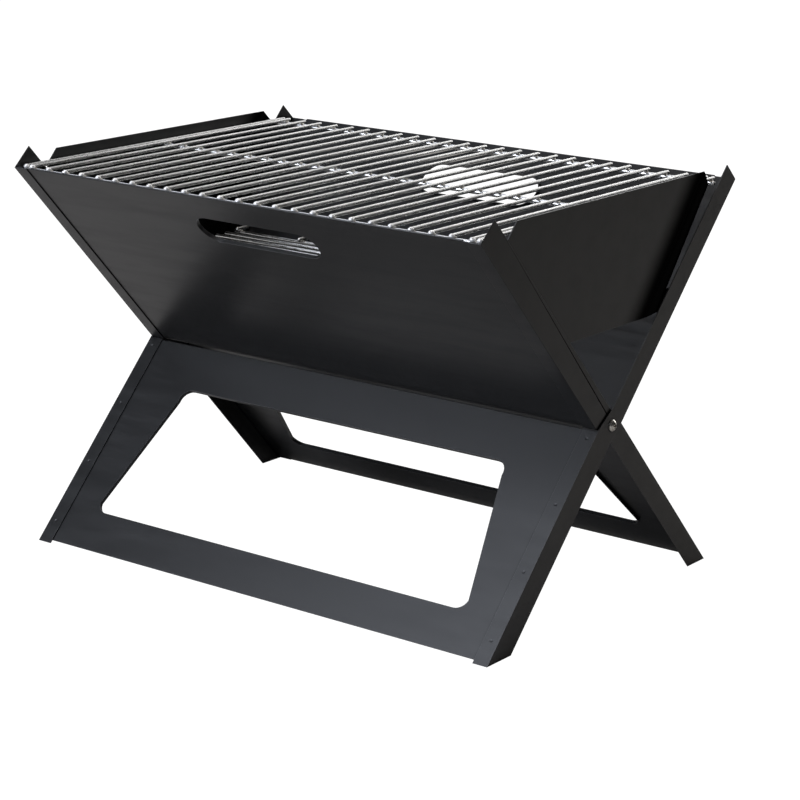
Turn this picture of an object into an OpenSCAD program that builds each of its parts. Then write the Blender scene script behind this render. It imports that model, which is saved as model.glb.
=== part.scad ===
// Folding camp grill: two crossed sheet-steel frames on one pivot line, with a wire cooking grate,
// a wire charcoal grate and two loose end plates in the trough that the upper halves form.
// Every frame is drawn upright, as it stands when the grill is folded flat, and then leaned.
// In those frame coordinates the pivot is the origin, z runs up the frame and -y is the front.
// The finished grill stands on z = 0 with the origin under the middle of its outer box.

/* [Frames] */
// Length over the outer rails
body_w = 450; // [420:1:480]
// Lean of each frame from upright, in degrees
lean = 43.4; // [42:0.1:45]
// Height of the pivot line above the ground
pivot_z = 146.5; // [140:0.5:155]
// Front sheets' outer face, ahead of the pivot line
front_off = 13.8; // [13.8:0.1:15]
// Rear sheets' outer face, behind the pivot line
rear_off = 10.2; // [10.2:0.1:11]
// Thickness of the sheet steel
sheet_t = 0.8; // [0.6:0.1:0.8]
// Top of the inner frame, measured up the frame from the pivot
inner_top = 241.5; // [235:0.5:245]
// Top of the outer frame, measured up the frame from the pivot
outer_top = 236; // [230:0.5:240]

/* [Rails] */
// Width of a rail's side where its sheet is at the front
deep_side = 22.1; // [20:0.1:22.1]
// Width of a rail's side where its sheet is at the rear
shallow_side = 18.9; // [17:0.1:19]
// Width of the lap that holds a sheet
lap_w = 13; // [10:0.5:15]
// Gap between an outer and an inner rail
rail_gap = 0.6; // [0.5:0.1:1]
// Spot welds on each leg lap
weld_count = 4; // [3:1:5]

/* [Panels] */
// Length of the handle slots
slot_w = 116; // [100:1:118]
// Height of the handle slots
slot_h = 30; // [26:1:32]
// Centre of the front handle slot, up the frame
front_slot_z = 198.5; // [190:0.5:200]
// Centre of the rear handle slot, up the frame
rear_slot_z = 195; // [190:0.5:200]
// Depth of the rims turned in round the slots and windows
rim_d = 2.5; // [1.5:0.1:3]
// Height of the folded hems
hem_h = 8; // [6:0.5:9]
// Gap between the leg panels and the ground
leg_gap = 2.5; // [2:0.5:4]

/* [End plates] */
// Height of the plates' top edge
plate_top = 322.5; // [320:0.5:323]
// Height of the plates' bottom edge
plate_bottom = 221; // [218:0.5:223]
// Height of the plates' shoulders
plate_shoulder = 310; // [308:0.5:311]

/* [Grates] */
// Diameter of the long bars
bar_d = 3.6; // [3:0.1:4]
// Diameter of the rods and wires
rod_d = 3; // [2.5:0.1:3.2]
// Height of the cooking grate's long bars
bar_z = 310.5; // [309:0.5:311]
// Spacing of the cooking grate's rods
rod_pitch = 17.6; // [17:0.1:17.6]
// Height of the charcoal grate's cross bars
coal_z = 227.5; // [226:0.5:232]
// Spacing of the charcoal grate's wires
coal_pitch = 12; // [11:0.5:12.5]

/* [Pivot] */
// Diameter of the pivot screws
screw_d = 5; // [4:0.5:6]
// Diameter of their domed heads
head_d = 9; // [8:0.5:10]

/* [Hidden] */
$fn = 48;

steel_black = [0.14, 0.14, 0.15];
wire_bright = [0.78, 0.77, 0.74];

// Across: outer faces of the rails and of the end plates
outer_x = body_w / 2;
inner_x = outer_x - sheet_t - rail_gap;
plate_x = inner_x - sheet_t - 0.5;
// Frame heights where the front sheets and the rear sheets of the two frames meet when open
seam = 0.3;
front_meet = front_off * tan(lean) + seam;
rear_meet = rear_off * tan(lean) + seam;
// The pivot line's place behind the origin, which centres the open grill from front to back
front_reach = inner_top * sin(lean) + front_off * cos(lean);
rear_reach = outer_top * sin(lean) + rear_off * cos(lean);
pivot_y = (front_reach - rear_reach) / 2;
// Lowest ends of the rails before the ground cuts them level, and of the leg panels
rail_end = 230;
function leg_end(off) = (pivot_z + off * sin(lean) - leg_gap) / cos(lean);

// Trough walls: y of a point at height z that stands a distance gap inside the wall
function front_wall(z, gap) =
    let (y = 2 * sheet_t + gap - front_off, s = (z - pivot_z - y * sin(lean)) / cos(lean))
    pivot_y + y * cos(lean) - s * sin(lean);
function rear_wall(z, gap) =
    let (y = rear_off - 2 * sheet_t - gap, s = (z - pivot_z + y * sin(lean)) / cos(lean))
    pivot_y + y * cos(lean) + s * sin(lean);

module lean_back() { translate([0, pivot_y, pivot_z]) rotate([-lean, 0, 0]) children(); }
module lean_forward() { translate([0, pivot_y, pivot_z]) rotate([lean, 0, 0]) children(); }
module other_side() { mirror([1, 0, 0]) children(); }

module above_ground() {
    difference() {
        children();
        translate([-outer_x - 10, -outer_x, -100]) cube([body_w + 20, body_w, 100]);
    }
}

module both_sides() {
    children();
    other_side() children();
}

// A box centred on x = 0, from y0 to y1 and from z0 to z1
module strip(half_w, y0, y1, z0, z1) {
    translate([-half_w, y0, z0]) cube([2 * half_w, y1 - y0, z1 - z0]);
}

// A flat outline in the (y, z) plane, thickened from x0 to x0 + thick
module plate_yz(outline, x0, thick) {
    translate([x0, 0, 0]) rotate([90, 0, 90]) linear_extrude(thick) polygon(outline);
}

// ---- Rails, drawn for the right-hand side --------------------------------------------------

module lap(x_out, y0, z0, z1) {
    translate([x_out - lap_w, y0, z0]) cube([lap_w, sheet_t, z1 - z0]);
}

module weld_dimples(x_out, y_face, meet) {
    ball_r = 4;
    dimple = 0.3;
    first = 8;
    reach = 173;
    outward = y_face < 0 ? -1 : 1;
    for (i = [0 : weld_count - 1])
        translate([x_out - lap_w / 2, y_face + outward * (ball_r - dimple),
                   -meet - first - i * reach / (weld_count - 1)])
            sphere(ball_r);
}

module pivot_hole(x_out) {
    translate([x_out - 5, 0, 0]) rotate([0, 90, 0]) cylinder(d = screw_d + 0.1, h = 10);
}

// Rail of the frame whose upper sheet is at the rear and whose leg sheet is at the front
module outer_rail() {
    side = [[rear_off, outer_top], [rear_off - shallow_side, outer_top],
            [rear_off - shallow_side, rear_meet], [-front_off, -front_meet],
            [-front_off, -rail_end], [deep_side - front_off, -rail_end],
            [deep_side - front_off, -front_meet], [rear_off, rear_meet]];
    difference() {
        union() {
            plate_yz(side, outer_x - sheet_t, sheet_t);
            lap(outer_x, rear_off - sheet_t, rear_meet, outer_top);
            lap(outer_x, -front_off, -rail_end, -front_meet);
        }
        weld_dimples(outer_x, -front_off, front_meet);
        pivot_hole(outer_x);
    }
}

// Rail of the frame whose upper sheet is at the front and whose leg sheet is at the rear
module inner_rail() {
    side = [[-front_off, inner_top], [deep_side - front_off, inner_top],
            [deep_side - front_off, -7], [rear_off, -rear_meet],
            [rear_off, -rail_end], [rear_off - shallow_side, -rail_end],
            [rear_off - shallow_side, 0], [-front_off, front_meet]];
    difference() {
        union() {
            plate_yz(side, inner_x - sheet_t, sheet_t);
            lap(inner_x, -front_off, front_meet, inner_top);
            lap(inner_x, rear_off - sheet_t, -rail_end, -rear_meet);
        }
        weld_dimples(inner_x, rear_off, rear_meet);
        pivot_hole(inner_x);
    }
}

module right_outer_rail() { color(steel_black) above_ground() lean_back() outer_rail(); }
module left_outer_rail() { other_side() right_outer_rail(); }
module right_inner_rail() { color(steel_black) above_ground() lean_forward() inner_rail(); }
module left_inner_rail() { other_side() right_inner_rail(); }

// ---- Panels: sheets spot-welded behind the laps, with rims and hems turned inwards ----------

// Outline of a four-sided opening with round corners, given its half widths and heights
function round_quad(top_w, low_w, top, low, r) =
    let (lean_side = atan((low_w - top_w) / (top - low)), steps = 6,
         corners = [[top_w - r, top - r, -lean_side, 90], [r - top_w, top - r, 90, 180 + lean_side],
                    [r - low_w, low + r, 180 + lean_side, 270], [low_w - r, low + r, 270, 360 - lean_side]])
    [for (c = corners, i = [0 : steps])
        let (a = c[2] + (c[3] - c[2]) * i / steps) [c[0] + r * cos(a), c[1] + r * sin(a)]];

module slot_shape(z, grow) {
    r = slot_h / 2 + grow;
    straight = slot_w - slot_h;
    translate([-straight / 2, z - r]) square([straight, 2 * r]);
    for (x = [-straight / 2, straight / 2]) translate([x, z]) circle(r);
}

// Window of a leg panel: wider at the foot than at the top
module window_shape(top, low, top_w, low_w, grow) {
    corner_r = 10 + grow;
    polygon(round_quad(top_w + grow, low_w + grow, top + grow, low - grow, corner_r));
}

// Stands a flat (x, z) shape upright between y0 and y1
module upright(y0, y1) { translate([0, y1, 0]) rotate([90, 0, 0]) linear_extrude(y1 - y0) children(); }

// A hem along an edge at height z: the sheet rolls over and lies back for hem_h.
// up is 1 on a top edge and -1 on a bottom edge; inward is 1 on a front sheet and -1 on a rear one.
module hem(half_w, y_in, z, up, inward) {
    roll = z - up * sheet_t;
    translate([-half_w, y_in, roll]) rotate([0, 90, 0]) cylinder(r = sheet_t, h = 2 * half_w);
    strip(half_w, min(y_in, y_in + inward * sheet_t), max(y_in, y_in + inward * sheet_t),
          min(roll, roll - up * hem_h), max(roll, roll - up * hem_h));
}

hem_half = outer_x - 18;

// A front sheet lies behind its lap, and turns its rims and hems towards +y
module front_sheet(half_w, z0, z1) {
    y0 = sheet_t - front_off;
    difference() {
        strip(half_w, y0, y0 + sheet_t, z0, z1);
        upright(y0 - 1, y0 + sheet_t + 1) children(0);
    }
    upright(y0, y0 + sheet_t + rim_d) difference() { children(1); children(0); }
}

// A rear sheet lies ahead of its lap, and turns its rims and hems towards -y
module rear_sheet(half_w, z0, z1) {
    y1 = rear_off - sheet_t;
    difference() {
        strip(half_w, y1 - sheet_t, y1, z0, z1);
        upright(y1 - sheet_t - 1, y1 + 1) children(0);
    }
    upright(y1 - sheet_t - rim_d, y1) difference() { children(1); children(0); }
}

// Upper sheet of the inner frame, with a lip at its foot that closes the bottom of the trough
module front_panel() {
    lip_d = 27;
    lip_half = outer_x - 19;
    half_w = inner_x - sheet_t - 0.3;
    color(steel_black) lean_forward() {
        front_sheet(half_w, front_meet, inner_top - sheet_t) {
            slot_shape(front_slot_z, 0);
            slot_shape(front_slot_z, sheet_t);
        }
        hem(hem_half, 2 * sheet_t - front_off, inner_top, 1, 1);
        translate([-lip_half, 1.5 * sheet_t - front_off, front_meet])
            rotate([-lean, 0, 0]) cube([2 * lip_half, lip_d, sheet_t]);
    }
}

module rear_leg_panel() {
    half_w = inner_x - sheet_t - 0.3;
    color(steel_black) lean_forward() {
        rear_sheet(half_w, -leg_end(rear_off), -rear_meet - sheet_t) {
            window_shape(-50, -170, 159, 181, 0);
            window_shape(-50, -170, 159, 181, sheet_t);
        }
        hem(hem_half, rear_off - 2 * sheet_t, -rear_meet, 1, -1);
    }
}

module rear_panel() {
    half_w = outer_x - sheet_t - 0.3;
    color(steel_black) lean_back() {
        rear_sheet(half_w, rear_meet, outer_top - sheet_t) {
            slot_shape(rear_slot_z, 0);
            slot_shape(rear_slot_z, sheet_t);
        }
        hem(hem_half, rear_off - 2 * sheet_t, outer_top, 1, -1);
    }
}

module front_leg_panel() {
    half_w = outer_x - sheet_t - 0.3;
    color(steel_black) lean_back() {
        front_sheet(half_w, -leg_end(front_off), -front_meet - sheet_t) {
            window_shape(-53.5, -177, 163, 185, 0);
            window_shape(-53.5, -177, 163, 185, sheet_t);
        }
        hem(hem_half, 2 * sheet_t - front_off, -front_meet, 1, 1);
    }
}

// ---- Pivots, drawn for the right-hand side --------------------------------------------------

washer_t = 0.8;
washer_gap = 0.2;
nut_t = 4.8;

// Points local +z outwards along the pivot line, from x
module on_pivot(x) { translate([x, pivot_y, pivot_z]) rotate([0, 90, 0]) children(); }

module right_pivot_screw() {
    dome_h = 3.2;
    rim_h = 0.8;
    dome_r = (pow(head_d / 2, 2) + pow(dome_h - rim_h, 2)) / (2 * (dome_h - rim_h));
    shank = 12;
    recess = 1.1;
    color(wire_bright) on_pivot(outer_x) {
        translate([0, 0, -shank]) cylinder(d = screw_d, h = shank + rim_h);
        difference() {
            union() {
                cylinder(d = head_d, h = rim_h);
                intersection() {
                    translate([0, 0, dome_h - dome_r]) sphere(dome_r);
                    translate([0, 0, rim_h]) cylinder(d = head_d, h = dome_h);
                }
            }
            for (turn = [0, 90])
                rotate(turn) translate([-head_d / 4, -recess / 2, rim_h + 0.4]) cube([head_d / 2, recess, dome_h]);
        }
    }
}

module right_pivot_washer() {
    seat = inner_x - sheet_t - washer_gap;
    color(wire_bright) on_pivot(seat - washer_t) difference() {
        cylinder(d = 11, h = washer_t);
        translate([0, 0, -1]) cylinder(d = screw_d + 0.2, h = washer_t + 2);
    }
}

// Lock nut: a hexagon with a round collar on its inner end
module right_pivot_nut() {
    seat = inner_x - sheet_t - washer_gap - washer_t;
    collar = 1;
    color(wire_bright) on_pivot(seat - nut_t) difference() {
        union() {
            cylinder(d = 7.6, h = nut_t);
            translate([0, 0, collar]) cylinder(d = 9.2, h = nut_t - collar, $fn = 6);
        }
        translate([0, 0, -1]) cylinder(d = screw_d - 0.06, h = nut_t + 2);
    }
}

module left_pivot_screw() { other_side() right_pivot_screw(); }
module left_pivot_washer() { other_side() right_pivot_washer(); }
module left_pivot_nut() { other_side() right_pivot_nut(); }

// ---- End plates ------------------------------------------------------------------------------

// Right-hand plate. Its rear side curls gently inwards, its ears rest on the trough walls, and its
// ledge carries the middle bar.
module end_plate() {
    centre = pivot_y - 2.7;
    top_half = 128;
    shoulder_half = 139.5;
    foot_half = 70.5;
    ear_top = plate_bottom + 16;
    ear_gap = 0.6;
    curl_w = 25;
    curl_r = 66;
    slant = atan((shoulder_half - foot_half) / (plate_shoulder - plate_bottom));
    curl_deep = curl_r - sqrt(pow(curl_r, 2) - pow(curl_w * cos(slant), 2));
    ledge_w = 14;
    ledge_d = 8;
    side_top = foot_half + (plate_top - plate_bottom) * tan(slant);
    side_ear = foot_half + (ear_top - plate_bottom) * tan(slant);
    flat = [[front_wall(plate_bottom, ear_gap), plate_bottom], [front_wall(ear_top, ear_gap), ear_top],
            [centre - side_ear, ear_top], [centre - shoulder_half, plate_shoulder],
            [centre - top_half, plate_top], [centre + side_top - curl_w, plate_top],
            [centre + foot_half - curl_w, plate_bottom]];
    curled = [[centre + foot_half - curl_w, plate_bottom], [centre + side_top - curl_w, plate_top],
              [centre + top_half, plate_top], [centre + shoulder_half, plate_shoulder],
              [centre + foot_half, plate_bottom]];
    rear_ear = [[centre + foot_half - 2, plate_bottom], [centre + side_ear - 2, ear_top],
                [rear_wall(ear_top, ear_gap), ear_top], [rear_wall(plate_bottom, ear_gap), plate_bottom]];
    color(steel_black) {
        plate_yz(flat, plate_x - sheet_t, sheet_t);
        intersection() {
            plate_yz(curled, plate_x - ledge_d, ledge_d + 1);
            translate([plate_x - curl_r, centre + foot_half - curl_w, plate_bottom])
                rotate([-slant, 0, 0]) translate([0, 0, -curl_w]) difference() {
                    cylinder(r = curl_r, h = 180);
                    translate([0, 0, -1]) cylinder(r = curl_r - sheet_t, h = 182);
                }
        }
        plate_yz(rear_ear, plate_x - curl_deep - sheet_t, sheet_t);
        translate([plate_x - ledge_d, grate_middle - ledge_w / 2, bar_z - bar_d / 2 - sheet_t - 0.3])
            cube([ledge_d, ledge_w, sheet_t]);
    }
}

module right_end_plate() { end_plate(); }
module left_end_plate() { other_side() end_plate(); }

// ---- Cooking grate ---------------------------------------------------------------------------

grate_front = pivot_y - 166.5;
grate_rear = pivot_y + 143.5;
grate_middle = pivot_y - 10;
rod_z = bar_z + bar_d / 2 + rod_d / 2 - 0.2;

// A straight wire with rounded ends, from point a to point b
module wire(a, b, d) {
    run = b - a;
    length = norm(run);
    translate(a) rotate([0, acos(run[2] / length), atan2(run[1], run[0])]) {
        cylinder(d = d, h = length);
        sphere(d = d);
        translate([0, 0, length]) sphere(d = d);
    }
}

module end_bar(y) {
    reach = inner_x - sheet_t - 1.2 - bar_d / 2;
    color(wire_bright) wire([-reach, y, bar_z], [reach, y, bar_z], bar_d);
}

module grate_front_bar() { end_bar(grate_front); }
module grate_rear_bar() { end_bar(grate_rear); }

// The middle bar stops short of the end plates and lies on their ledges
module grate_middle_bar() {
    reach = plate_x - sheet_t - 0.5 - bar_d / 2;
    color(wire_bright) wire([-reach, grate_middle, bar_z], [reach, grate_middle, bar_z], bar_d);
}

module rod(x) { wire([x, grate_front - 2.5, rod_z], [x, grate_rear + 4, rod_z], rod_d); }

module grate_rods() { color(wire_bright) for (i = [-12 : 12]) rod(i * rod_pitch); }

module grate_end_rods() {
    curl_room = 2.6;
    edge = plate_x - sheet_t - curl_room - rod_d / 2;
    color(wire_bright) both_sides() rod(edge);
}

// ---- Charcoal grate --------------------------------------------------------------------------

coal_reach = 213;
coal_wires = 14;
coal_bar_pitch = 69;

// The wires hang under the cross bars
module charcoal_wires() {
    z = coal_z - bar_d / 2 - rod_d / 2 + 0.2;
    color(wire_bright) for (i = [0 : coal_wires - 1]) {
        y = pivot_y + (i - (coal_wires - 1) / 2) * coal_pitch - 1.2;
        wire([-coal_reach, y, z], [coal_reach, y, z], rod_d);
    }
}

// Three cross bars, and short feet between them and the ends; all rest on the sloping trough walls
module charcoal_cross_bars() {
    gap = bar_d / 2 + 0.2;
    foot = 13;
    front = front_wall(coal_z, gap);
    rear = rear_wall(coal_z, gap);
    color(wire_bright) for (i = [-3 : 3]) {
        x = i * coal_bar_pitch;
        if (abs(i) < 2) wire([x, front, coal_z], [x, rear, coal_z], bar_d);
        else {
            wire([x, front, coal_z], [x, front + foot, coal_z], bar_d);
            wire([x, rear, coal_z], [x, rear - foot, coal_z], bar_d);
        }
    }
}

left_outer_rail();
right_outer_rail();
rear_panel();
front_leg_panel();
left_inner_rail();
right_inner_rail();
front_panel();
rear_leg_panel();
left_pivot_screw();
right_pivot_screw();
left_pivot_nut();
right_pivot_nut();
left_pivot_washer();
right_pivot_washer();
left_end_plate();
right_end_plate();
grate_front_bar();
grate_middle_bar();
grate_rear_bar();
grate_rods();
grate_end_rods();
charcoal_wires();
charcoal_cross_bars();
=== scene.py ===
import math
import random

import bmesh
import bpy
from mathutils import Matrix, Vector


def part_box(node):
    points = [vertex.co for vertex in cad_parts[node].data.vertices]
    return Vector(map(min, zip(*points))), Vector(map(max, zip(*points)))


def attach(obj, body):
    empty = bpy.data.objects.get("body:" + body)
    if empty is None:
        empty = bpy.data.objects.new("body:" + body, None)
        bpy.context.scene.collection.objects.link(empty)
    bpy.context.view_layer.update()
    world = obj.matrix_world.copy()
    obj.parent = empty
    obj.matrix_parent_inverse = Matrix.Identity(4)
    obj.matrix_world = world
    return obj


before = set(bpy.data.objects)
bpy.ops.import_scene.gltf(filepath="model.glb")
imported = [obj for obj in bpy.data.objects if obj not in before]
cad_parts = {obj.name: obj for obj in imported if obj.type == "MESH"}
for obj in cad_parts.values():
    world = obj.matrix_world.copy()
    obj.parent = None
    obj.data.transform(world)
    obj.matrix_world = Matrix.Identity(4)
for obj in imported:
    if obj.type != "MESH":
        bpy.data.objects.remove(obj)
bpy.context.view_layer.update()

MM = 0.001
rng = random.Random(17)

OUTER_STEEL = ["left_outer_rail", "right_outer_rail", "rear_panel", "front_leg_panel"]
INNER_STEEL = ["left_inner_rail", "right_inner_rail", "front_panel", "rear_leg_panel"]
END_STEEL = ["left_end_plate", "right_end_plate"]
FASTENERS = ["left_pivot_screw", "right_pivot_screw", "left_pivot_nut", "right_pivot_nut",
             "left_pivot_washer", "right_pivot_washer"]
BARS_X = ["grate_front_bar", "grate_middle_bar", "grate_rear_bar"]
RODS_Y = ["grate_rods", "grate_end_rods"]

# Corners of a CAD mesh that are closer than this are one corner
SAME_POINT = 0.002 * MM


# ---- Materials -------------------------------------------------------------------------------

# Painted shade: the dull black that the enamel's seams and the end plates' rear sides fade into
PAINTED_SHADE_BLACK = (0.003, 0.003, 0.003)


class Shader:
    """A material's node tree, with short calls for the nodes that the finishes share."""

    def __init__(self, name):
        self.material = bpy.data.materials.new(name)
        self.material.use_nodes = True
        self.nodes = self.material.node_tree.nodes
        self.links = self.material.node_tree.links
        self.surface = self.nodes["Principled BSDF"]
        self.place = self.add("ShaderNodeTexCoord").outputs["Object"]

    def add(self, kind, **settings):
        node = self.nodes.new(kind)
        for key, value in settings.items():
            setattr(node, key, value)
        return node

    def feed(self, socket, value):
        """Links value to the socket, or sets it as the socket's own value."""
        if isinstance(value, bpy.types.NodeSocket):
            self.links.new(value, socket)
        elif hasattr(value, "__len__") and len(value) == 3 and len(socket.default_value) == 4:
            socket.default_value = (*value, 1)
        else:
            socket.default_value = value

    def math(self, operation, a, b, clamp=False):
        node = self.add("ShaderNodeMath", operation=operation, use_clamp=clamp)
        self.feed(node.inputs[0], a)
        self.feed(node.inputs[1], b)
        return node.outputs[0]

    def dot(self, a, b):
        node = self.add("ShaderNodeVectorMath", operation="DOT_PRODUCT")
        self.feed(node.inputs[0], a)
        self.feed(node.inputs[1], b)
        return node.outputs["Value"]

    def noise(self, scale, detail, rough, stretch=None, warp=0):
        """Noise with scale features to the metre, times stretch along x, y and z."""
        node = self.add("ShaderNodeTexNoise")
        place = self.place
        if stretch:
            mapping = self.add("ShaderNodeMapping")
            self.feed(mapping.inputs["Vector"], place)
            mapping.inputs["Scale"].default_value = stretch
            place = mapping.outputs[0]
        self.feed(node.inputs["Vector"], place)
        node.inputs["Scale"].default_value = scale
        node.inputs["Detail"].default_value = detail
        node.inputs["Roughness"].default_value = rough
        node.inputs["Distortion"].default_value = warp
        return node.outputs["Fac"]

    def ramp(self, value, low, high, out_low=0.0, out_high=1.0):
        """Goes smoothly from out_low, where value is low, to out_high, where it is high."""
        node = self.add("ShaderNodeMapRange", interpolation_type="SMOOTHSTEP")
        self.feed(node.inputs["Value"], value)
        for name, number in (("From Min", low), ("From Max", high),
                             ("To Min", out_low), ("To Max", out_high)):
            node.inputs[name].default_value = number
        return node.outputs[0]

    def mix(self, amount, a, b):
        node = self.add("ShaderNodeMix", data_type="RGBA")
        self.feed(node.inputs[0], amount)
        self.feed(node.inputs[6], a)
        self.feed(node.inputs[7], b)
        return node.outputs[2]

    def edges(self, radius, low, high):
        """1 on edges sharper than the given radius, 0 on open faces."""
        bevel = self.add("ShaderNodeBevel", samples=4)
        bevel.inputs["Radius"].default_value = radius
        normal = self.add("ShaderNodeNewGeometry").outputs["Normal"]
        return self.ramp(self.dot(bevel.outputs[0], normal), high, low)

    def crevice_shade(self, distance):
        """Painted shade: 1 in narrow gaps and corners, found by ambient occlusion, 0 on open faces.
        """
        node = self.add("ShaderNodeAmbientOcclusion", samples=4)
        node.inputs["Distance"].default_value = distance
        return self.ramp(node.outputs["AO"], 0.86, 0.60)

    def bump(self, height, distance, below=None):
        node = self.add("ShaderNodeBump")
        node.inputs["Strength"].default_value = 1
        node.inputs["Distance"].default_value = distance
        self.feed(node.inputs["Height"], height)
        if below is not None:
            self.feed(node.inputs["Normal"], below)
        return node.outputs[0]

    def finish(self, colour, roughness, normal, metallic=0.0):
        self.feed(self.surface.inputs["Base Color"], colour)
        self.feed(self.surface.inputs["Roughness"], roughness)
        self.feed(self.surface.inputs["Normal"], normal)
        self.surface.inputs["Metallic"].default_value = metallic
        self.surface.inputs["Specular IOR Level"].default_value = 0.5
        return self.material

    def fade_to_painted_shade(self, amount):
        """Paints shade: fades the finish to a dull black by the given amount."""
        painted_shade = self.add("ShaderNodeBsdfDiffuse")
        self.feed(painted_shade.inputs["Color"], PAINTED_SHADE_BLACK)
        mix = self.add("ShaderNodeMixShader")
        self.feed(mix.inputs[0], amount)
        self.links.new(self.surface.outputs[0], mix.inputs[1])
        self.links.new(painted_shade.outputs[0], mix.inputs[2])
        self.links.new(mix.outputs[0], self.nodes["Material Output"].inputs["Surface"])
        return self.material


ENAMEL_DEEP = (0.0028, 0.0028, 0.0030)
ENAMEL_THIN = (0.0038, 0.0038, 0.0040)
PAINTED_FOLD_HIGHLIGHT = (0.12, 0.12, 0.123)
DUST = (0.030, 0.030, 0.031)
# Painted highlight: the lighter colour that folds and edges take
RUBBED_STEEL = (0.11, 0.108, 0.105)
ENAMEL_ROUGH = 0.36
WEAR = 0.6
FOLD_HIGHLIGHT_SHARE = 0.6
FOLD_RADIUS = 0.9 * MM
SEAM_SHADE_REACH = 2.2 * MM
SHEET_WAVES = 0.05 * MM
ORANGE_PEEL = 0.010 * MM


def black_enamel(name, painted_shade_side=None):
    """Baked black enamel: satin, with orange peel, dust, painted shade in the seams, a painted
    highlight on the folds and slightly rubbed edges.

    The last argument, if given, is a plane (normal, height) up to which the enamel fades to a
    painted black shade.
    """
    s = Shader(name)
    edge = s.edges(FOLD_RADIUS, 0.55, 0.97)
    worn = s.math("MULTIPLY", edge, s.ramp(s.noise(55, 5, 0.65), 0.42, 0.66))
    worn = s.math("MULTIPLY", worn, WEAR)
    dust = s.ramp(s.noise(1500, 2, 0.6), 0.66, 0.78, 0.0, 0.35)
    cloud = s.ramp(s.noise(7, 4, 0.6, warp=0.4), 0.3, 0.7)
    base = s.mix(cloud, ENAMEL_DEEP, ENAMEL_THIN)
    base = s.mix(dust, base, DUST)
    # Painted highlight along the folds and edges
    base = s.mix(s.math("MULTIPLY", edge, FOLD_HIGHLIGHT_SHARE), base, PAINTED_FOLD_HIGHLIGHT)
    base = s.mix(worn, base, RUBBED_STEEL)
    rubbed = s.ramp(s.noise(9, 5, 0.7, stretch=(1.0, 6.0, 6.0)), 0.35, 0.75, -0.035, 0.045)
    rough = s.math("ADD", s.math("ADD", rubbed, ENAMEL_ROUGH), s.math("MULTIPLY", dust, 0.3))
    rough = s.math("SUBTRACT", rough, s.math("MULTIPLY", worn, 0.08), clamp=True)
    waves = s.bump(s.noise(18, 2, 0.4), SHEET_WAVES)
    peel = s.bump(s.noise(620, 2, 0.5), ORANGE_PEEL, below=waves)
    s.finish(base, rough, peel)
    # Painted shade in the seams and corners
    painted_shade = s.crevice_shade(SEAM_SHADE_REACH)
    # Painted shade: the enamel darkens to black towards the given side
    if painted_shade_side:
        normal, height = painted_shade_side
        plate_edge_shade = s.ramp(s.dot(s.place, normal), height - SHADE_FADE_START, height - SHADE_FADE_END)
        painted_shade = s.math("MAXIMUM", painted_shade, plate_edge_shade)
    return s.fade_to_painted_shade(painted_shade)


WIRE_SPOTS = (0.36, 0.345, 0.32)
DRAWING_LINES = 0.0003 * MM


def bright_wire(name, stretch, colour, roughness, metallic=1.0):
    """Plated steel wire with drawing lines along it and duller, darker patches."""
    s = Shader(name)
    lines = s.noise(1, 3, 0.6, stretch=stretch)
    patches = s.ramp(s.noise(38, 4, 0.65), 0.38, 0.7)
    spots = s.ramp(s.noise(150, 2, 0.6), 0.62, 0.76, 0.0, 0.15)
    base = s.mix(patches, colour, tuple(0.85 * c for c in colour))
    base = s.mix(spots, base, WIRE_SPOTS)
    rough = s.math("ADD", s.ramp(lines, 0.3, 0.7, roughness - 0.03, roughness + 0.04),
                   s.math("MULTIPLY", patches, 0.06))
    return s.finish(base, rough, s.bump(lines, DRAWING_LINES), metallic)


PLATING_EDGE = (0.8, 0.78, 0.74)
PLATING_EDGE_RADIUS = 0.5 * MM
PLATING_GRAIN = 0.02 * MM


def plated_steel(name, colour, roughness):
    """Zinc plating on the pivot hardware, dull in the corners and brighter on edges."""
    s = Shader(name)
    edge = s.edges(PLATING_EDGE_RADIUS, 0.6, 0.97)
    grain = s.noise(900, 3, 0.6)
    stains = s.ramp(s.noise(160, 4, 0.6), 0.35, 0.7)
    base = s.mix(stains, colour, tuple(0.6 * c for c in colour))
    base = s.mix(s.math("MULTIPLY", edge, 0.6), base, PLATING_EDGE)
    rough = s.ramp(grain, 0.3, 0.7, roughness - 0.06, roughness + 0.1)
    return s.finish(base, rough, s.bump(grain, PLATING_GRAIN), metallic=1.0)


WELD_BRIGHT = (0.80, 0.78, 0.74)
WELD_DULL = (0.42, 0.39, 0.35)
WELD_LUMPS = 0.05 * MM


def weld_metal(name):
    """Plated spot-weld metal: lumpy, duller and browner than the wire."""
    s = Shader(name)
    lumps = s.noise(700, 4, 0.7)
    base = s.mix(s.ramp(lumps, 0.4, 0.7), WELD_BRIGHT, WELD_DULL)
    rough = s.ramp(lumps, 0.3, 0.7, 0.28, 0.42)
    return s.finish(base, rough, s.bump(lumps, WELD_LUMPS), metallic=1.0)


# The end plates' rear side slopes by this much y for each z, from its shoulder down
SIDE_SLOPE = 69 / 89
SHOULDER_DROP = 12.5 * MM
# Painted shade: the plates' enamel turns dull black between these two distances ahead of that side
SHADE_FADE_START = 58 * MM
SHADE_FADE_END = 26 * MM

GRATE_PLATING = (0.86, 0.855, 0.84)
COAL_PLATING = (0.84, 0.83, 0.80)
# Rod tips: the grate's plating, made brighter and partly diffuse as a painted highlight
TIP_PLATING_AND_HIGHLIGHT = (0.93, 0.92, 0.90)
SCREW_PLATING = (0.90, 0.87, 0.80)
# Drawing lines to the metre along x, y and z: few along the wire and many across it
ALONG_X = (40, 900, 900)
ALONG_Y = (900, 40, 900)
NO_GRAIN = (300, 300, 300)

plate_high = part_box("right_end_plate")[1]
rear_side = plate_high.y - SIDE_SLOPE * (plate_high.z - SHOULDER_DROP)
enamel = black_enamel("black_enamel")
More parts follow.
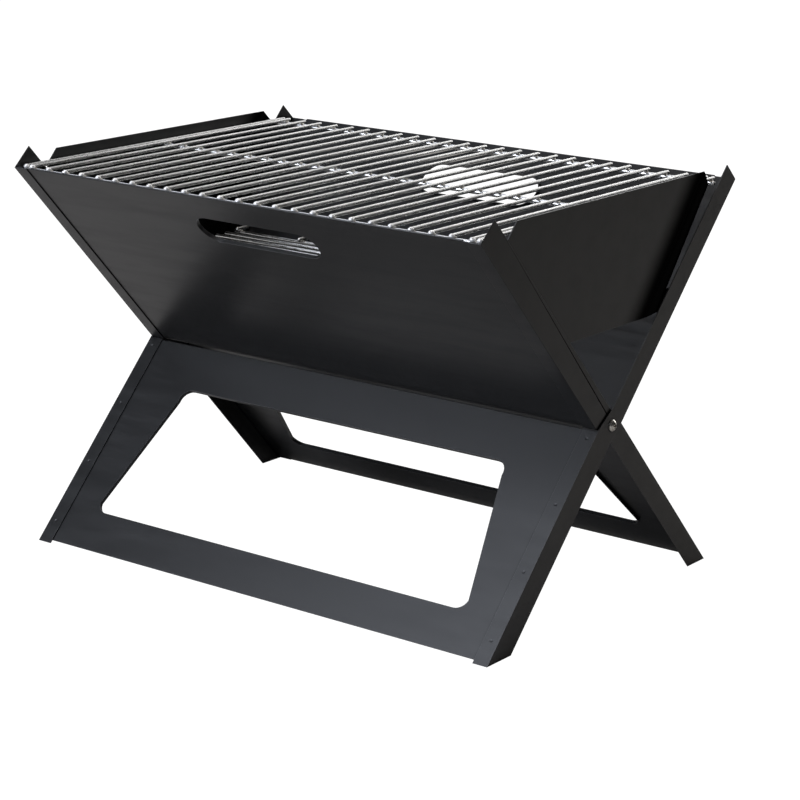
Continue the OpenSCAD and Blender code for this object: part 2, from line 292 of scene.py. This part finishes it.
# The end plates' enamel carries a painted shade along its rear side
plate_enamel_with_painted_shade = black_enamel("end_plate_enamel", ((0, 1, -SIDE_SLOPE), rear_side))
wire_x = bright_wire("wire_along_x", ALONG_X, GRATE_PLATING, 0.24)
wire_y = bright_wire("wire_along_y", ALONG_Y, GRATE_PLATING, 0.24)
coal_wire_x = bright_wire("charcoal_wire_along_x", ALONG_X, COAL_PLATING, 0.26)
coal_wire_y = bright_wire("charcoal_wire_along_y", ALONG_Y, COAL_PLATING, 0.26)
rod_tip_painted_highlight = bright_wire("rod_tip_painted_highlight", NO_GRAIN, TIP_PLATING_AND_HIGHLIGHT, 0.3, metallic=0.35)
hardware = plated_steel("pivot_plating", SCREW_PLATING, 0.3)
weld = weld_metal("weld_metal")


# ---- CAD nodes: finishes and softened edges --------------------------------------------------

# Rounding of the sheets' bends and cut edges; flatter folds than LEAST_FOLD stay as they are
FRAME_ROUNDING = 0.3 * MM
PLATE_ROUNDING = 0.25 * MM
LEAST_FOLD = math.radians(32)


def finish_node(name, material):
    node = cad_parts[name]
    node.data.materials.clear()
    node.data.materials.append(material)
    return node


def soften(node, width):
    """Rounds a sheet part's cut edges and fold lines a little, so that they catch light."""
    merge = node.modifiers.new("merge", "WELD")
    merge.merge_threshold = SAME_POINT
    bevel = node.modifiers.new("edges", "BEVEL")
    bevel.width = width
    bevel.segments = 2
    bevel.limit_method = "ANGLE"
    bevel.angle_limit = LEAST_FOLD
    bevel.use_clamp_overlap = True
    normals = node.modifiers.new("normals", "WEIGHTED_NORMAL")
    normals.weight = 100
    normals.keep_sharp = False


for name in OUTER_STEEL + INNER_STEEL:
    soften(finish_node(name, enamel), FRAME_ROUNDING)
for name in END_STEEL:
    soften(finish_node(name, plate_enamel_with_painted_shade), PLATE_ROUNDING)
for names, material in ((FASTENERS, hardware), (BARS_X, wire_x), (RODS_Y, wire_y),
                        (["charcoal_wires"], coal_wire_x), (["charcoal_cross_bars"], coal_wire_y)):
    for name in names:
        finish_node(name, material)


# ---- Weld nuggets where the wires cross, and the rods' swollen ends --------------------------

WELD_HALF = 2.2 * MM
WELD_HALF_HEIGHT = 1.25 * MM
WELD_SPREAD = 0.12
TIP_HALF = (2.3 * MM, 2.4 * MM, 2.2 * MM)
TIP_INSET = 2.1 * MM
TIP_SAG = 0.5 * MM
MOST_TURN = 0.2
LUMPINESS = 0.07


def wires_of(*names):
    """(lowest corner, highest corner) of each separate wire in the CAD nodes, in order of place."""
    found = []
    for name in names:
        bm = bmesh.new()
        bm.from_mesh(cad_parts[name].data)
        bmesh.ops.remove_doubles(bm, verts=bm.verts, dist=SAME_POINT)
        left = set(bm.verts)
        while left:
            group, todo = [], [left.pop()]
            while todo:
                vert = todo.pop()
                group.append(vert.co.copy())
                for edge in vert.link_edges:
                    other = edge.other_vert(vert)
                    if other in left:
                        left.remove(other)
                        todo.append(other)
            low = Vector(min(c[i] for c in group) for i in range(3))
            high = Vector(max(c[i] for c in group) for i in range(3))
            found.append((low, high))
        bm.free()
    return sorted(found, key=lambda corners: [round(c / MM) for c in corners[0]])


def add_nugget(bm, centre, size):
    """A lumpy flattened bead of metal."""
    turn = Matrix.Rotation(rng.uniform(-MOST_TURN, MOST_TURN), 4, "Z")
    shape = Matrix.Diagonal((*size, 1))
    made = bmesh.ops.create_icosphere(bm, subdivisions=2, radius=1, matrix=Matrix.Identity(4))
    for vert in made["verts"]:
        lump = 1 + LUMPINESS * rng.uniform(-1, 1)
        vert.co = Matrix.Translation(centre) @ turn @ shape @ (vert.co * lump)


def add_piece(name, bm, material, body):
    mesh = bpy.data.meshes.new(name)
    bm.to_mesh(mesh)
    bm.free()
    mesh.materials.append(material)
    mesh.shade_smooth()
    piece = bpy.data.objects.new(name, mesh)
    bpy.context.scene.collection.objects.link(piece)
    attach(piece, body)


def welds(name, along_x, along_y, body):
    """Beads at every crossing of the wires that run along x with those that run along y."""
    bm = bmesh.new()
    for low_x, high_x in along_x:
        for low_y, high_y in along_y:
            x = (low_y.x + high_y.x) / 2
            y = (low_x.y + high_x.y) / 2
            if not (low_x.x < x < high_x.x and low_y.y < y < high_y.y):
                continue
            if low_y.z > low_x.z:
                z = (low_y.z + high_x.z) / 2
            else:
                z = (low_x.z + high_y.z) / 2
            half = WELD_HALF * rng.uniform(1 - WELD_SPREAD, 1 + WELD_SPREAD)
            add_nugget(bm, Vector((x, y, z)), (half, half, WELD_HALF_HEIGHT))
    add_piece(name, bm, weld, body)


def rod_ends(name, rods, body):
    """Swollen sheared ends of the rods, which hang over the front bar."""
    bm = bmesh.new()
    for low, high in rods:
        middle = (low + high) / 2
        add_nugget(bm, Vector((middle.x, low.y + TIP_INSET, middle.z - TIP_SAG)), TIP_HALF)
    add_piece(name, bm, rod_tip_painted_highlight, body)


rods = wires_of(*RODS_Y)
welds("cooking_grate_welds", wires_of(*BARS_X), rods, "cooking_grate")
rod_ends("cooking_grate_rod_ends", rods, "cooking_grate")
welds("charcoal_grate_welds", wires_of("charcoal_wires"), wires_of("charcoal_cross_bars"),
      "charcoal_grate")


# ---- Floor, light and camera -----------------------------------------------------------------

FLOOR_HALF = 30.0
FLOOR_DROP = 0.2 * MM
FLOOR_COLOUR = (0.52, 0.50, 0.475, 1)
FLOOR_GLOW = 1.2
GLOW_SHARE = 0.88
ROOM_LIGHT = 0.02
WHITE = (1, 1, 1, 1)


def pale_floor():
    """A plain floor, just under the feet, that the camera sees as white."""
    mesh = bpy.data.meshes.new("floor")
    corners = [(-1, -1), (1, -1), (1, 1), (-1, 1)]
    mesh.from_pydata([(x * FLOOR_HALF, y * FLOOR_HALF, -FLOOR_DROP) for x, y in corners],
                     [], [(0, 1, 2, 3)])
    material = bpy.data.materials.new("pale_floor")
    material.use_nodes = True
    nodes, links = material.node_tree.nodes, material.node_tree.links
    surface = nodes["Principled BSDF"]
    surface.inputs["Base Color"].default_value = FLOOR_COLOUR
    surface.inputs["Roughness"].default_value = 0.9
    surface.inputs["Specular IOR Level"].default_value = 0.0
    glow = nodes.new("ShaderNodeEmission")
    glow.inputs["Strength"].default_value = FLOOR_GLOW
    mix = nodes.new("ShaderNodeMixShader")
    amount = nodes.new("ShaderNodeMath")
    amount.operation = "MULTIPLY"
    amount.inputs[1].default_value = GLOW_SHARE
    links.new(nodes.new("ShaderNodeLightPath").outputs["Is Camera Ray"], amount.inputs[0])
    links.new(amount.outputs[0], mix.inputs[0])
    links.new(surface.outputs[0], mix.inputs[1])
    links.new(glow.outputs[0], mix.inputs[2])
    links.new(mix.outputs[0], nodes["Material Output"].inputs["Surface"])
    mesh.materials.append(material)
    floor = bpy.data.objects.new("floor", mesh)
    bpy.context.scene.collection.objects.link(floor)


def white_room():
    """A white backdrop for the camera; what the object mirrors comes from floor and softboxes."""
    world = bpy.data.worlds.new("studio")
    bpy.context.scene.world = world
    world.use_nodes = True
    nodes, links = world.node_tree.nodes, world.node_tree.links
    room = nodes["Background"]
    room.inputs["Color"].default_value = WHITE
    room.inputs["Strength"].default_value = ROOM_LIGHT
    seen = nodes.new("ShaderNodeBackground")
    seen.inputs["Color"].default_value = WHITE
    mix = nodes.new("ShaderNodeMixShader")
    links.new(nodes.new("ShaderNodeLightPath").outputs["Is Camera Ray"], mix.inputs[0])
    links.new(room.outputs[0], mix.inputs[1])
    links.new(seen.outputs[0], mix.inputs[2])
    links.new(mix.outputs[0], nodes["World Output"].inputs["Surface"])


NEUTRAL = (1.0, 1.0, 1.0)
COOL = (0.84, 0.89, 1.0)
WARM = (1.0, 0.955, 0.91)
# Name, place, height over the origin of the point that it faces, size, radiance and colour
SOFTBOXES = [
    ("front_left_softbox", (-0.55, -1.15, 1.45), 0.15, (1.1, 0.9), 3.9, COOL),
    ("low_left_softbox", (-1.2, -1.9, 1.2), 0.15, (1.0, 0.8), 9.4, COOL),
    ("front_softbox", (0.2, -2.4, 1.0), 0.15, (1.4, 0.8), 4.7, COOL),
    ("left_high_softbox", (-1.55, 0.75, 2.1), 0.2, (1.3, 1.3), 1.5, COOL),
    ("rear_softbox", (-0.2, 2.6, 0.9), 0.2, (3.0, 0.8), 3.0, NEUTRAL),
    ("rear_high_softbox", (-0.3, 2.2, 1.9), 0.2, (3.0, 0.8), 1.2, NEUTRAL),
    ("top_softbox", (0, 0.2, 2.6), 0.2, (1.6, 1.6), 2.5, WARM),
]


def softbox(name, place, facing_height, size, radiance, colour):
    light = bpy.data.lights.new(name, "AREA")
    light.shape = "RECTANGLE"
    light.size, light.size_y = size
    light.energy = radiance * math.pi * size[0] * size[1]
    light.color = colour
    lamp = bpy.data.objects.new(name, light)
    lamp.location = place
    facing = Vector((0, 0, facing_height)) - Vector(place)
    lamp.rotation_euler = facing.to_track_quat("-Z", "Y").to_euler()
    lamp.visible_camera = False
    bpy.context.scene.collection.objects.link(lamp)


CAMERA_AZIMUTH = math.radians(36.7223)
CAMERA_ELEVATION = math.radians(15.3983)
CAMERA_ROLL = math.radians(0.9261)
CAMERA_TARGET = Vector((28.1, 0.0, 131.91)) * MM
CAMERA_DISTANCE = 1.99765
CAMERA_LENS = 112.679
CAMERA_SENSOR = 36


def studio_camera():
    """Looks slightly down at the front and right side, from about two metres."""
    camera = bpy.data.cameras.new("camera")
    camera.sensor_width = CAMERA_SENSOR
    camera.lens = CAMERA_LENS
    level = math.cos(CAMERA_ELEVATION)
    back = Vector((math.sin(CAMERA_AZIMUTH) * level, -math.cos(CAMERA_AZIMUTH) * level,
                   math.sin(CAMERA_ELEVATION)))
    facing = back.to_track_quat("Z", "Y").to_matrix().to_4x4()
    holder = bpy.data.objects.new("camera", camera)
    holder.matrix_world = (Matrix.Translation(CAMERA_TARGET + back * CAMERA_DISTANCE)
                           @ facing @ Matrix.Rotation(CAMERA_ROLL, 4, "Z"))
    bpy.context.scene.collection.objects.link(holder)
    bpy.context.scene.camera = holder


pale_floor()
white_room()
for row in SOFTBOXES:
    softbox(*row)
studio_camera()
bpy.context.scene.view_settings.view_transform = "Standard"
